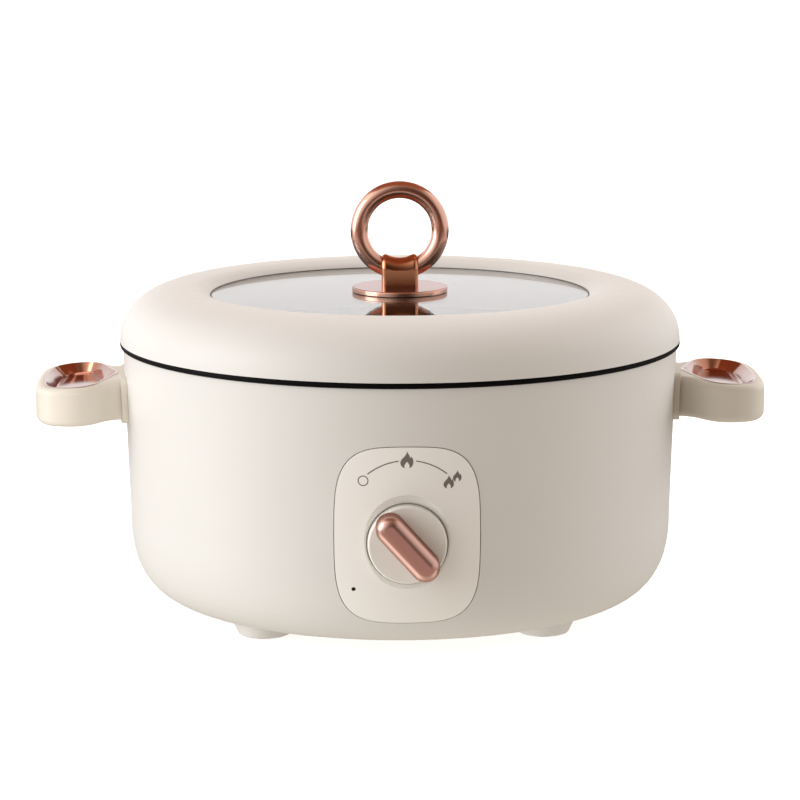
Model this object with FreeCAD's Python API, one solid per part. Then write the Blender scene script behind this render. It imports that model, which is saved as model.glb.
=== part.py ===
"""Electric hot pot with a lift-off glass lid: a 28 cm class, non-stick, integrated cooking pot.

Frame: millimetres, +Z up, origin on the pot's own axis in the plane of the foot pads.
The control panel faces -Y, the two side handles lie along +X and -X, the mains inlet faces +Y.
Every sub-part is written to parts/NODE.step.
"""
import FreeCAD, Part
import os
import math

os.makedirs("parts", exist_ok=True)
V = FreeCAD.Vector
PI = math.pi

# ------------------------------------------------------------------ driving dimensions
Z_RIM = 138.8            # middle of the pan's flange
Z_BOTTOM = 5.8           # underside of the casing
R_FLANGE = 144.0         # outer radius of the pan's flange
T_FLANGE = 2.5
R_SHELL_TOP = 142.4      # casing, just under the flange
Z_SHELL_TOP = 137.2
R_SHELL_MID = 139.6      # casing, where the straight wall ends
H_CORNER = 47.7          # height of the casing's rounded corner
R_SHELL_FLAT = 95.6      # flat underside
N_CORNER = 2.77          # roundness of the corner (superellipse exponent)
T_SHELL = 2.6

Z_PAN_FLOOR = 74.0       # cooking surface
T_PAN_FLOOR = 2.5
T_PAN_WALL = 2.0
R_PAN_MOUTH = 136.6      # inside, below the flange
R_PAN_LOW = 126.4        # inside, at z = 101

Z_GLASS = 163.9          # top of the lid's glass, in its middle
DOME = 3764.0            # radius of the glass's slight dome
T_GLASS = 4.0
R_GLASS = 101.0
R_WINDOW = 97.6          # opening in the lid's ring
T_LID = 2.4

PANEL_W, PANEL_H, PANEL_Z, PANEL_N = 70.2, 87.8, 64.9, 3.6
KNOB_Z = 61.2
R_DIAL = 19.3
R_WELL = 22.6             # soft dimple round the dial
DIAL_FRONT = -142.8
GRIP_FRONT = -155.2
GRIP_LEN, GRIP_W = 38.9, 14.0
KNOB_REST = 42.0         # degrees, the grip leans this far to the left at rest (off)

HANDLE_TOP, HANDLE_BOTTOM = 121.7, 101.1
HANDLE_TILT = 3.2         # degrees, the top falls outward
HANDLE_OUT = 187.0
DISH_DEPTH = 6.2
T_TRIM = 1.0

FOOT_XY = 70.0
R_FOOT = 14.0
R_PAD = 9.5

R_RING, R_TUBE, Z_RING = 20.8, 4.45, 195.5
T_STRAP = 2.3            # the strap round the ring

INLET_Z = 42.0
INLET_FACE = 150.8

DONE = []


# ------------------------------------------------------------------ helpers
def out(name, shape):
    """Writes one sub-part. A list becomes a group of separate solids."""
    if isinstance(shape, (list, tuple)):
        shape = Part.makeCompound([s for x in shape for s in x.Solids])
    else:
        sol = shape.Solids
        shape = sol[0] if len(sol) == 1 else Part.makeCompound(sol)
    ok = shape.isValid() and all(s.isValid() and s.Volume > 0 for s in shape.Solids)
    shape.exportStep("parts/%s.step" % name)
    DONE.append(name)
    bb = shape.BoundBox
    print("%-22s solids %d valid %s vol %.0f  x %.1f..%.1f y %.1f..%.1f z %.1f..%.1f" % (
        name, len(shape.Solids), ok, shape.Volume, bb.XMin, bb.XMax, bb.YMin, bb.YMax, bb.ZMin, bb.ZMax))
    return shape


def path_edges(pts, closed=True, to3=lambda r, z: V(r, 0, z)):
    """Straight runs through pts = [(a, b, corner radius)], each corner rounded by a tangent arc."""
    n = len(pts)
    ins, outs, arcs = [], [], []
    for i in range(n):
        a, b, rad = (list(pts[i]) + [0])[:3]
        if rad <= 0 or (not closed and i in (0, n - 1)):
            ins.append((a, b)); outs.append((a, b)); arcs.append(None)
            continue
        pa, pb = pts[(i - 1) % n][:2]
        na, nb = pts[(i + 1) % n][:2]
        d1 = (pa - a, pb - b); l1 = math.hypot(*d1); d1 = (d1[0] / l1, d1[1] / l1)
        d2 = (na - a, nb - b); l2 = math.hypot(*d2); d2 = (d2[0] / l2, d2[1] / l2)
        cosang = max(-1, min(1, d1[0] * d2[0] + d1[1] * d2[1]))
        half = math.acos(cosang) / 2
        t = rad / math.tan(half)
        bis = (d1[0] + d2[0], d1[1] + d2[1]); lb = math.hypot(*bis); bis = (bis[0] / lb, bis[1] / lb)
        dist = rad / math.sin(half)
        c = (a + bis[0] * dist, b + bis[1] * dist)
        m = (c[0] - bis[0] * rad, c[1] - bis[1] * rad)
        ins.append((a + d1[0] * t, b + d1[1] * t))
        outs.append((a + d2[0] * t, b + d2[1] * t))
        arcs.append(m)
    edges = []
    for i in range(n):
        if arcs[i]:
            edges.append(Part.Arc(to3(*ins[i]), to3(*arcs[i]), to3(*outs[i])).toShape())
        j = (i + 1) % n
        if not closed and i == n - 1:
            break
        p, q = to3(*outs[i]), to3(*ins[j])
        if (p - q).Length > 1e-6:
            edges.append(Part.makeLine(p, q))
    return edges


def wire(pts, to3=lambda r, z: V(r, 0, z)):
    return Part.Wire(path_edges(pts, True, to3))


def rev_edges(edges):
    w = Part.Wire(Part.__sortEdges__(edges))
    return Part.Face(w).revolve(V(0, 0, 0), V(0, 0, 1), 360)


def rev(pts):
    """Solid of revolution about the pot's axis from (radius, height, corner radius) points."""
    return Part.Face(wire(pts)).revolve(V(0, 0, 0), V(0, 0, 1), 360)


def spline(pts, t0=None, t1=None):
    c = Part.BSplineCurve()
    p3 = [V(a, 0, b) for a, b in pts]
    if t0 and t1:
        c.interpolate(Points=p3, InitialTangent=V(t0[0], 0, t0[1]), FinalTangent=V(t1[0], 0, t1[1]))
    else:
        c.interpolate(Points=p3)
    return c.toShape()


def offset_pts(pts, d, t0=None, t1=None):
    """Points moved by d to the left of the travel direction."""
    res = []
    n = len(pts)
    for i in range(n):
        a = pts[max(0, i - 1)]; b = pts[min(n - 1, i + 1)]
        tx, tz = b[0] - a[0], b[1] - a[1]
        if i == 0 and t0:
            tx, tz = t0
        if i == n - 1 and t1:
            tx, tz = t1
        l = math.hypot(tx, tz)
        res.append((pts[i][0] - tz / l * d, pts[i][1] + tx / l * d))
    return res


def cyl(r, h, p, d):
    return Part.makeCylinder(r, h, V(*p), V(*d))


def box(x0, x1, y0, y1, z0, z1):
    return Part.makeBox(x1 - x0, y1 - y0, z1 - z0, V(x0, y0, z0))


def rbox(x0, x1, z0, z1, rad, y0, y1):
    """A slab with rounded corners seen along Y, from y0 to y1."""
    w = wire([(x0, z0, rad), (x1, z0, rad), (x1, z1, rad), (x0, z1, rad)], lambda a, b: V(a, y0, b))
    return Part.Face(w).extrude(V(0, y1 - y0, 0))


def closed_spline(pts3):
    c = Part.BSplineCurve()
    c.interpolate(Points=pts3, PeriodicFlag=True)
    return Part.Wire([c.toShape()])


def squircle(w, h, n, y, cx=0.0, cz=0.0, count=40):
    pts = []
    for k in range(count):
        t = 2 * PI * (k + 0.5) / count
        c, s = math.cos(t), math.sin(t)
        pts.append(V(cx + w / 2 * math.copysign(abs(c) ** (2 / n), c), y, cz + h / 2 * math.copysign(abs(s) ** (2 / n), s)))
    return closed_spline(pts)


def prism_y(w, depth):
    return Part.Face(w).extrude(V(0, depth, 0))


def soft(shape, rad, pick):
    """Rounds the edges that pick() accepts; a smaller radius is tried where the first is too large."""
    for k in (1.0, 0.7, 0.45, 0.25):
        try:
            es = [e for e in shape.Edges if pick(e)]
            if not es:
                return shape
            r = shape.makeFillet(rad * k, es)
            if r.isValid() and r.Volume > 0:
                return r
        except Exception:
            pass
    print("   no rounding fitted, radius", rad)
    return shape


def tube(points, dia):
    """A tube of straight runs joined by tangent arcs through 3-D points, with its centre line length."""
    pts = [V(*p) for p in points]
    n = len(pts)
    edges, last = [], pts[0]
    radii = []
    for i in range(1, n - 1):
        a, p, b = pts[i - 1], pts[i], pts[i + 1]
        d1 = (a - p); l1 = d1.Length; d1 = d1 * (1 / l1)
        d2 = (b - p); l2 = d2.Length; d2 = d2 * (1 / l2)
        turn = PI - math.acos(max(-1, min(1, d1.dot(d2))))
        rad = 0.45 * min(l1, l2) / math.tan(turn / 2)
        t = rad * math.tan(turn / 2)
        bis = d1 + d2
        bis = bis * (1 / bis.Length)
        c = p + bis * (rad / math.cos(turn / 2))
        m = c - bis * rad
        s, e = p + d1 * t, p + d2 * t
        if (s - last).Length > 1e-6:
            edges.append(Part.makeLine(last, s))
        edges.append(Part.Arc(s, m, e).toShape())
        radii.append(round(rad, 1))
        last = e
    edges.append(Part.makeLine(last, pts[-1]))
    w = Part.Wire(edges)
    d = pts[1] - pts[0]
    circ = Part.Wire([Part.Circle(pts[0], d, dia / 2).toShape()])
    s = w.makePipeShell([circ], True, False)
    print("   tube radii", radii, "volume ratio %.3f" % (s.Volume / (PI * dia * dia / 4 * w.Length)))
    return s


# ------------------------------------------------------------------ casing profile
def corner_points(count=13):
    pts = []
    for k in range(count):
        t = PI / 2 * k / (count - 1)
        pts.append((R_SHELL_FLAT + (R_SHELL_MID - R_SHELL_FLAT) * math.sin(t) ** (2 / N_CORNER),
                    Z_BOTTOM + H_CORNER * (1 - math.cos(t) ** (2 / N_CORNER))))
    return pts


Z_MID = Z_BOTTOM + H_CORNER
WALL = ((R_SHELL_TOP - R_SHELL_MID), (Z_SHELL_TOP - Z_MID))
WL = math.hypot(*WALL)
WALL = (WALL[0] / WL, WALL[1] / WL)
CORNER = corner_points()


def shell_r(z):
    """Outer radius of the casing at height z, above the corner."""
    return R_SHELL_MID + (z - Z_MID) * WALL[0] / WALL[1]


def casing_edges(d):
    """The casing's outer line moved inward by d: corner spline, then the straight wall. Returns edges and end points."""
    pts = offset_pts(CORNER, d, (1, 0), WALL) if d else CORNER
    k = 30.0
    e1 = spline(pts, (k, 0), (WALL[0] * k, WALL[1] * k))
    end = pts[-1]
    top = (end[0] + WALL[0] * WL, end[1] + WALL[1] * WL)
    # the wall ends at the same height for every offset
    s = (Z_SHELL_TOP - end[1]) / WALL[1]
    top = (end[0] + WALL[0] * s, Z_SHELL_TOP)
    e2 = Part.makeLine(V(end[0], 0, end[1]), V(top[0], 0, top[1]))
    return [e1, e2], pts[0], top


def casing_solid(d):
    """The filled casing, moved inward by d."""
    e, a, t = casing_edges(d)
    return rev_edges(e + [Part.makeLine(V(0, 0, a[1]), V(a[0], 0, a[1])), Part.makeLine(V(t[0], 0, t[1]), V(0, 0, t[1])),
                          Part.makeLine(V(0, 0, t[1]), V(0, 0, a[1]))])


FULL = casing_solid(0)
INNER = casing_solid(T_SHELL)

# ------------------------------------------------------------------ outer shell
R_OPEN = 76.0
shell = FULL.cut(INNER)
shell = shell.cut(cyl(R_OPEN, 20, (0, 0, 0), (0, 0, 1)))
panel_hole = prism_y(squircle(PANEL_W + 0.7, PANEL_H + 0.7, PANEL_N, -170, 0, PANEL_Z), 80)
shell = shell.cut(panel_hole)
inlet_hole = rbox(-15.0, 15.0, INLET_Z - 11.0, INLET_Z + 11.0, 2.0, 110, 170)
shell = shell.cut(inlet_hole)
HANDLE_SCREWS = [(-9.5, 111.5), (9.5, 111.5)]
for y, z in HANDLE_SCREWS:
    for sx in (-1, 1):
        shell = shell.cut(cyl(2.1, 30, (sx * 125, y, z), (sx, 0, 0)))
for sx in (-1, 1):
    for x in (sx * 19.5,):
        shell = shell.cut(cyl(1.7, 40, (x, 115, INLET_Z), (0, 1, 0)))
for sx in (-1, 1):
    for sy in (-1, 1):
        shell = shell.cut(cyl(2.1, 12, (sx * FOOT_XY, sy * FOOT_XY, 2), (0, 0, 1)))
out("outer_shell", shell)

# ------------------------------------------------------------------ base cover, feet, pads
R_STAND = 44.0
STAND = [(R_STAND * math.cos(a), R_STAND * math.sin(a)) for a in (math.radians(90), math.radians(210), math.radians(330))]
cover = rev([(0, 3.5, 0), (83.6, 3.5, 1.2), (83.6, Z_BOTTOM, 0.3), (R_OPEN - 0.4, Z_BOTTOM, 0), (R_OPEN - 0.4, 8.4, 0.4),
             (R_OPEN - 2.6, 8.4, 0.4), (R_OPEN - 2.6, 6.0, 0), (0, 6.0, 0)])
for x, y in STAND:
    cover = cover.fuse(cyl(8.0, 5.0, (x, y, 5.5), (0, 0, 1)))
    cover = cover.cut(cyl(5.2, 3.6, (x, y, 3.0), (0, 0, 1)))
    cover = cover.cut(cyl(2.2, 12, (x, y, 3.0), (0, 0, 1)))
slots = []
for k in range(12):
    a = 2 * PI * (k + 0.5) / 12
    for r0, r1 in ((16, 31),):
        s = box(r0, r1, -1.5, 1.5, 2, 9)
        s = s.fuse(cyl(1.5, 7, (r0, 0, 2), (0, 0, 1))).fuse(cyl(1.5, 7, (r1, 0, 2), (0, 0, 1)))
        s.rotate(V(0, 0, 0), V(0, 0, 1), math.degrees(a))
        slots.append(s)
cover = cover.cut(Part.makeCompound(slots))
out("base_cover", cover.removeSplitter())

pads = []
names = {(-1, -1): "foot_front_left", (1, -1): "foot_front_right", (-1, 1): "foot_rear_left", (1, 1): "foot_rear_right"}
foot_screws = []
for (sx, sy), nm in names.items():
    x, y = sx * FOOT_XY, sy * FOOT_XY
    prof = [(2.1, 0.8, 0), (R_FOOT - 1.2, 0.8, 1.4), (R_FOOT + 5.2, 15.0, 0), (2.1, 15.0, 0)]
    f = Part.Face(wire(prof)).revolve(V(0, 0, 0), V(0, 0, 1), 360)
    f = f.cut(cyl(R_PAD + 0.1, 1.3, (0, 0, 0.7), (0, 0, 1)))
    f = f.cut(cyl(4.0, 2.2, (0, 0, 0.7), (0, 0, 1)))
    f.translate(V(x, y, 0))
    f = f.cut(FULL)
    out(nm, f)
    p = Part.makeCylinder(R_PAD, 1.95, V(x, y, 0))
    p = soft(p, 0.4, lambda e: abs(e.BoundBox.ZMin) < 1e-6 and abs(e.BoundBox.ZMax) < 1e-6)
    pads.append(p)
    s = cyl(3.6, 1.0, (x, y, 12.0), (0, 0, 1))
    foot_screws.append((x, y))
out("foot_pads", pads)

# ------------------------------------------------------------------ pan
zt, zb = Z_RIM + T_FLANGE / 2, Z_RIM - T_FLANGE / 2
pan_out_low = R_PAN_LOW + 2.05
pan = rev([
    (0, Z_PAN_FLOOR, 0),
    (R_PAN_LOW - 7.4, Z_PAN_FLOOR, 27.0),          # floor to wall
    (R_PAN_MOUTH + 0.35, zt, 3.0),                   # wall to flange
    (R_FLANGE, zt, 0.8),
    (R_FLANGE, zb, 0.8),
    (R_PAN_MOUTH + 2.3, zb, 1.0),
    (R_PAN_LOW - 6.0, Z_PAN_FLOOR - T_PAN_FLOOR, 29.3),
    (0, Z_PAN_FLOOR - T_PAN_FLOOR, 0),
])
out("inner_pot", pan)
# soft ring between the flange and the casing
out("flange_seal", rev([(140.2, Z_SHELL_TOP, 0), (142.3, Z_SHELL_TOP, 0), (142.3, zb, 0), (140.2, zb, 0)]))

# ------------------------------------------------------------------ heater
Z_UNDER = Z_PAN_FLOOR - T_PAN_FLOOR      # 71.5
Z_TUBE, R_COIL, R_EL = 62.5, 62.0, 3.6
plate = rev([(0, Z_UNDER, 0), (84.0, Z_UNDER, 0), (84.0, 66.0, 2.0), (70, 64.5, 2), (0, 64.5, 0)])
coil = Part.Face(Part.Wire([Part.Circle(V(R_COIL, 0, Z_TUBE), V(0, 1, 0), R_EL).toShape()])).revolve(V(0, 0, 0), V(0, 0, 1), 300)
coil.rotate(V(0, 0, 0), V(0, 0, 1), -60)
ends = []
for a, s in ((math.radians(-60), -1), (math.radians(240), 1)):
    px, py = R_COIL * math.cos(a), R_COIL * math.sin(a)
    d = (-math.sin(a) * s, math.cos(a) * s, 0)
    ends.append(cyl(R_EL, 13.0, (px, py, Z_TUBE), d))
    ends.append(cyl(1.7, 23.0, (px, py, Z_TUBE), d))
element = coil
for e in ends:
    element = element.fuse(e)
element = element.removeSplitter()
plate = plate.cut(element)
studs = []
for x, y in STAND:
    plate = plate.fuse(cyl(7.0, 5.0, (x, y, 60.0), (0, 0, 1)).cut(element))
    plate = plate.cut(cyl(2.0, 9.0, (x, y, 59.0), (0, 0, 1)))
plate = plate.cut(element)
plate = plate.cut(cyl(1.5, 5.0, (0, 15, 63), (0, 0, 1))).cut(cyl(1.5, 5.0, (0, -15, 63), (0, 0, 1)))
out("heating_plate", plate.removeSplitter())
out("heating_element", element)

# bimetal limiter pressed to the plate's centre by a strap with two screws
limiter = cyl(8.2, 7.0, (0, 0, 57.5), (0, 0, 1)).fuse(cyl(5.5, 6.0, (0, 0, 51.5), (0, 0, 1)))
for sx in (-1, 1):
    limiter = limiter.fuse(box(min(sx * 4.6, sx * 12.5), max(sx * 4.6, sx * 12.5), -2.4, 2.4, 52.4, 53.2))
out("thermostat", limiter.removeSplitter())
strap = box(-4, 4, -20, 20, 63.3, 64.5).cut(cyl(8.4, 5, (0, 0, 62), (0, 0, 1)))
strap = strap.fuse(box(-4, 4, -9.6, -8.4, 56.4, 64.5)).fuse(box(-4, 4, 8.4, 9.6, 56.4, 64.5)).fuse(
    box(-4, 4, -9.6, 9.6, 56.4, 57.5)).fuse(cyl(8.3, 1.1, (0, 0, 56.4), (0, 0, 1))).cut(cyl(5.7, 5, (0, 0, 55), (0, 0, 1)))
for sy in (-1, 1):
    strap = strap.cut(cyl(1.7, 4, (0, sy * 15, 62), (0, 0, 1)))
out("thermostat_bracket", strap.removeSplitter())
out("bracket_screws", [cyl(1.48, 4.2, (0, sy * 15, 63.3), (0, 0, 1)).fuse(cyl(3.0, 1.8, (0, sy * 15, 61.5), (0, 0, 1))) for sy in (-1, 1)])
fuse_link = cyl(2.0, 12.0, (-6.0, 30, 62.5), (1, 0, 0))
fuse_link = fuse_link.fuse(cyl(0.5, 30.0, (-15.0, 30, 62.5), (1, 0, 0)))
out("thermal_fuse", fuse_link.removeSplitter())

# standoffs that tie pan, shield and base cover together
sto, ssc = [], []
for x, y in STAND:
    hexa = Part.Face(Part.Wire(Part.makePolygon([V(x + 4.6 * math.cos(PI / 3 * k), y + 4.6 * math.sin(PI / 3 * k), 10.5) for k in range(7)]).Edges)).extrude(V(0, 0, 49.5))
    hexa = hexa.cut(cyl(2.0, 14, (x, y, 10.5), (0, 0, 1)))
    hexa = hexa.fuse(cyl(1.98, 7.0, (x, y, 60.0), (0, 0, 1)))
    sto.append(hexa.removeSplitter())
    ssc.append(cyl(1.98, 15.0, (x, y, 6.6), (0, 0, 1)).fuse(cyl(4.2, 2.4, (x, y, 4.2), (0, 0, 1))).removeSplitter())
out("pan_standoffs", sto)
out("base_screws", ssc)

shield = rev([(0, 44.0, 0), (96.0, 44.0, 3.0), (104.0, 52.0, 0), (103.4, 52.6, 0), (95.6, 44.8, 3.0), (0, 44.8, 0)])
for x, y in STAND:
    shield = shield.cut(cyl(5.0, 4, (x, y, 42), (0, 0, 1)))
for x, y in ((12, -64.6), (-12, -64.6), (0, 24.5)):
    shield = shield.cut(cyl(6.0, 4, (x, y, 42), (0, 0, 1)))
out("heat_shield", shield)

# ------------------------------------------------------------------ control panel
def band(d_out, d_in):
    return casing_solid(d_out).cut(casing_solid(d_in))


proud = -0.35
plug = band(proud, T_SHELL).common(prism_y(squircle(PANEL_W, PANEL_H, PANEL_N, -170, 0, PANEL_Z), 80))
lipp = band(T_SHELL + 0.02, T_SHELL + 1.8).common(prism_y(squircle(PANEL_W + 8, PANEL_H + 6, PANEL_N, -170, 0, PANEL_Z + 1.0), 80))
neck = band(T_SHELL - 0.4, T_SHELL + 0.6).common(prism_y(squircle(PANEL_W, PANEL_H, PANEL_N, -170, 0, PANEL_Z), 80))
panel = plug.fuse(neck).fuse(lipp)
panel = panel.fuse(cyl(24.0, 4.4, (0, -138.0, KNOB_Z), (0, 1, 0)))
bosses = [(-15.0, KNOB_Z - 17.0), (15.0, KNOB_Z - 17.0), (-15.0, KNOB_Z + 17.0), (15.0, KNOB_Z + 17.0)]
for x, z in bosses:
    panel = panel.fuse(cyl(3.2, 5.0, (x, -137.4, z), (0, 1, 0)))
    panel = panel.cut(cyl(1.3, 4.0, (x, -136.0, z), (0, 1, 0)))
# soft dimple round the dial: rolled rim, sloped wall, then a straight seat
y_face = -(shell_r(KNOB_Z) + 0.35)
well = Part.Face(wire([(0, y_face - 6.0, 0), (R_WELL + 4.6, y_face - 6.0, 0), (R_WELL + 1.5, y_face - 0.15, 6.0), (R_DIAL + 0.55, y_face + 2.1, 1.2), (R_DIAL + 0.5, y_face + 3.7, 0.3), (0, y_face + 3.7, 0)],
                      lambda r, y: V(r, y, KNOB_Z))).revolve(V(0, 0, KNOB_Z), V(0, 1, 0), 360)
panel = panel.cut(well)
panel = panel.cut(cyl(4.6, 20, (0, -145, KNOB_Z), (0, 1, 0)))
LED_X, LED_Z = -25.9, 38.6
panel = panel.cut(cyl(1.05, 30, (LED_X, -150, LED_Z), (0, 1, 0)))
out("control_panel", panel.removeSplitter())

yl = -math.sqrt(137.9 ** 2 - LED_X ** 2)
lens = cyl(1.0, 4.4, (LED_X, yl + 0.25, LED_Z), (0, 1, 0))
lens = soft(lens, 0.3, lambda e: abs(e.BoundBox.YMin - (yl + 0.25)) < 1e-6 and e.BoundBox.YLength < 1e-6)
out("indicator_lens", lens)
lamp = cyl(2.4, 6.0, (LED_X, yl + 4.75, LED_Z), (0, 1, 0)).fuse(cyl(2.9, 1.0, (LED_X, yl + 9.7, LED_Z), (0, 1, 0)))
for s in (-1, 1):
    lamp = lamp.fuse(cyl(0.3, 8.0, (LED_X + s * 1.2, yl + 10, LED_Z), (0, 1, 0)))
out("indicator_lamp", lamp.removeSplitter())

# ------------------------------------------------------------------ rotary switch
SW_FRONT = -131.4
sw = rbox(-12.5, 12.5, KNOB_Z - 12.5, KNOB_Z + 12.5, 2.5, SW_FRONT, SW_FRONT + 15.0)
sw = sw.fuse(cyl(4.4, 2.4, (0, SW_FRONT - 2.3, KNOB_Z), (0, 1, 0)))
sw = sw.cut(cyl(3.05, 9.5, (0, SW_FRONT - 3, KNOB_Z), (0, 1, 0)))
for i, x in enumerate((-8.0, 0.0, 8.0)):
    sw = sw.fuse(box(x - 2.4, x + 2.4, SW_FRONT + 6, SW_FRONT + 6.8, KNOB_Z - 20.5, KNOB_Z - 12.0))
out("rotary_switch", sw.removeSplitter())
br = rbox(-18.6, 18.6, KNOB_Z - 20.4, KNOB_Z + 20.4, 3.0, SW_FRONT - 1.0, SW_FRONT)
br = br.cut(cyl(4.6, 6, (0, SW_FRONT - 3, KNOB_Z), (0, 1, 0)))
for x, z in bosses:
    br = br.cut(cyl(1.7, 6, (x, SW_FRONT - 3, z), (0, 1, 0)))
br = br.common(casing_solid(T_SHELL + 1.9))
out("switch_bracket", br)
out("switch_screws", [cyl(1.28, 4.6, (x, SW_FRONT - 4.6, z), (0, 1, 0)).fuse(cyl(2.8, 1.8, (x, SW_FRONT, z), (0, 1, 0))).removeSplitter() for x, z in bosses])

shaft = cyl(3.0, 15.0, (0, -140.4, KNOB_Z), (0, 1, 0))
flat = box(-4, 4, -141, -134.6, KNOB_Z + 1.6, KNOB_Z + 5)
flat.rotate(V(0, 0, KNOB_Z), V(0, 1, 0), -KNOB_REST)
shaft = shaft.cut(flat)
out("switch_shaft", shaft)

# ------------------------------------------------------------------ dial and grip
def rev_y(pts, y_of):
    """Solid of revolution about the knob's axis from (radius, forward distance, corner radius) points."""
    w = wire(pts, lambda r, d: V(r, y_of(d), KNOB_Z))
    return Part.Face(w).revolve(V(0, 0, KNOB_Z), V(0, 1, 0), 360)


dial = rev_y([(0, 0, 0), (R_DIAL - 0.4, 0, 0.9), (R_DIAL, 6.0, 0.3), (R_DIAL - 2.0, 6.0, 0.3), (R_DIAL - 2.0, 2.4, 0.5), (6.2, 2.4, 0.5), (6.2, 5.6, 0.3), (0, 5.6, 0)],
             lambda d: DIAL_FRONT + d)
bore = cyl(3.03, 5.0, (0, -140.6, KNOB_Z), (0, 1, 0))
flat2 = box(-4, 4, -141, -134, KNOB_Z + 1.63, KNOB_Z + 5)
flat2.rotate(V(0, 0, KNOB_Z), V(0, 1, 0), -KNOB_REST)
dial = dial.cut(bore.cut(flat2))
out("knob_dial", dial)

hw, hl = GRIP_W / 2, GRIP_LEN / 2
base = wire([(-hw, KNOB_Z - hl, hw - 0.01), (hw, KNOB_Z - hl, hw - 0.01), (hw, KNOB_Z + hl, hw - 0.01), (-hw, KNOB_Z + hl, hw - 0.01)], lambda a, b: V(a, DIAL_FRONT, b))
grip = Part.Face(base).extrude(V(0, GRIP_FRONT - DIAL_FRONT, 0))
grip = soft(grip, 5.0, lambda e: abs(e.BoundBox.YMin - GRIP_FRONT) < 1e-6 and e.BoundBox.YLength < 1e-6)
grip.rotate(V(0, 0, KNOB_Z), V(0, 1, 0), -KNOB_REST)
out("knob_grip", grip)

# ------------------------------------------------------------------ handles
# half outline of the handle seen from above: (distance from the pot's axis, half width)
HALF = [(187.0, 0.0), (186.9, 10.0), (186.4, 19.5), (185.2, 27.6), (183.0, 34.0), (179.0, 38.9), (173.2, 41.7), (166.6, 42.5), (160.2, 40.6), (154.8, 36.0),
        (151.2, 30.6), (147.9, 26.2), (143.4, 23.2), (138.0, 22.2), (132.0, 22.2)]
DISH = [(183.0, 0.0), (182.9, 8.0), (182.5, 16.0), (181.5, 24.0), (179.7, 30.6), (176.6, 35.5), (172.0, 38.6), (166.2, 39.7), (160.4, 37.8), (155.4, 32.2),
        (152.0, 23.6), (149.2, 14.6), (147.0, 7.2), (145.4, 2.2)]
# the dish's floor, with broad slopes at its outer and inner ends
FLOOR = [(177.6, 0.0), (177.5, 7.6), (177.2, 15.0), (176.4, 22.2), (175.0, 28.0), (172.9, 32.4), (169.8, 35.2), (165.9, 36.3), (161.9, 34.8), (158.6, 29.8),
         (156.6, 22.2), (155.0, 14.0), (153.8, 7.0), (153.0, 2.1)]


def outline(half, z, sx, inset=0.0, tip=False):
    """Closed smooth outline from a half outline, moved inward by inset."""
    ring = [(a, b) for a, b in half] + [(a, -b) for a, b in reversed(half[1:])]
    n = len(ring)
    pts = []
    for i in range(n):
        p, q = ring[(i - 1) % n], ring[(i + 1) % n]
        tx, ty = q[0] - p[0], q[1] - p[1]
        l = math.hypot(tx, ty)
        # the ring runs from the outer end over +Y to the pot, so inward is to its left
        nx, ny = -ty / l, tx / l
        pts.append(V(sx * (ring[i][0] + nx * inset), ring[i][1] + ny * inset, z))
    return pts


def tilt(shape, sx):
    """The handle's top plane and everything in it falls outward a little."""
    shape.rotate(V(sx * 155.0, 0, HANDLE_TOP), V(0, 1, 0), sx * HANDLE_TILT)
    return shape


def handle(sx):
    top = outline(HALF, HANDLE_BOTTOM, sx)
    n = len(HALF)
    c = Part.BSplineCurve()
    loop = top[n:] + top[:n]          # from one neck end round the outer end to the other
    c.interpolate(Points=loop)
    w = Part.Wire([c.toShape(), Part.makeLine(loop[-1], loop[0])])
    body = Part.Face(w).extrude(V(0, 0, HANDLE_TOP - HANDLE_BOTTOM + 4.0))
    above = tilt(box(min(sx * 90, sx * 230), max(sx * 90, sx * 230), -70, 70, HANDLE_TOP, HANDLE_TOP + 30), sx)
    body = body.cut(above)
    body = soft(body, 3.4, lambda e: abs(e.BoundBox.ZMin - HANDLE_BOTTOM) < 1e-5 and e.BoundBox.ZLength < 1e-5 and e.BoundBox.YLength > 50 and e.BoundBox.XLength > 20)
    body = soft(body, 3.6, lambda e: e.BoundBox.ZMin > HANDLE_TOP - 4.0 and e.BoundBox.YLength > 50 and e.BoundBox.XLength > 20)
    flange = Part.Face(wire([(-25.4, 99.4, 5), (25.4, 99.4, 5), (25.4, 123.8, 4), (-25.4, 123.8, 4)], lambda a, b: V(sx * 100, a, b))).extrude(V(sx * 60, 0, 0))
    ring_out = casing_solid(-3.0)
    flange = flange.common(ring_out)
    body = body.fuse(flange)
    body = body.cut(FULL)
    body = Part.makeCompound([s for s in body.Solids if s.BoundBox.XMax * sx > 150 or s.BoundBox.XMin * sx > 150])
    zf = HANDLE_TOP - DISH_DEPTH
    dish_o = Part.makeLoft([closed_spline(outline(DISH, HANDLE_TOP + 0.2, sx)), closed_spline(outline(FLOOR, zf, sx))], True, True)
    dish_i = Part.makeLoft([closed_spline(outline(DISH, HANDLE_TOP + 0.21, sx, T_TRIM)), closed_spline(outline(FLOOR, zf + T_TRIM, sx, T_TRIM * 0.7))], True, True)
    dish_o = tilt(soft(dish_o, 2.6, lambda e: abs(e.BoundBox.ZMin - zf) < 1e-5 and e.BoundBox.ZLength < 1e-5), sx)
    dish_i = tilt(soft(dish_i, 1.7, lambda e: abs(e.BoundBox.ZMin - zf - T_TRIM) < 1e-5 and e.BoundBox.ZLength < 1e-5), sx)
    body = body.cut(dish_o)
    trim = dish_o.cut(dish_i)
    for y, z in HANDLE_SCREWS:
        body = body.cut(cyl(1.6, 14, (sx * 139.0, y, z), (sx, 0, 0)))
    return body, trim


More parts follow.
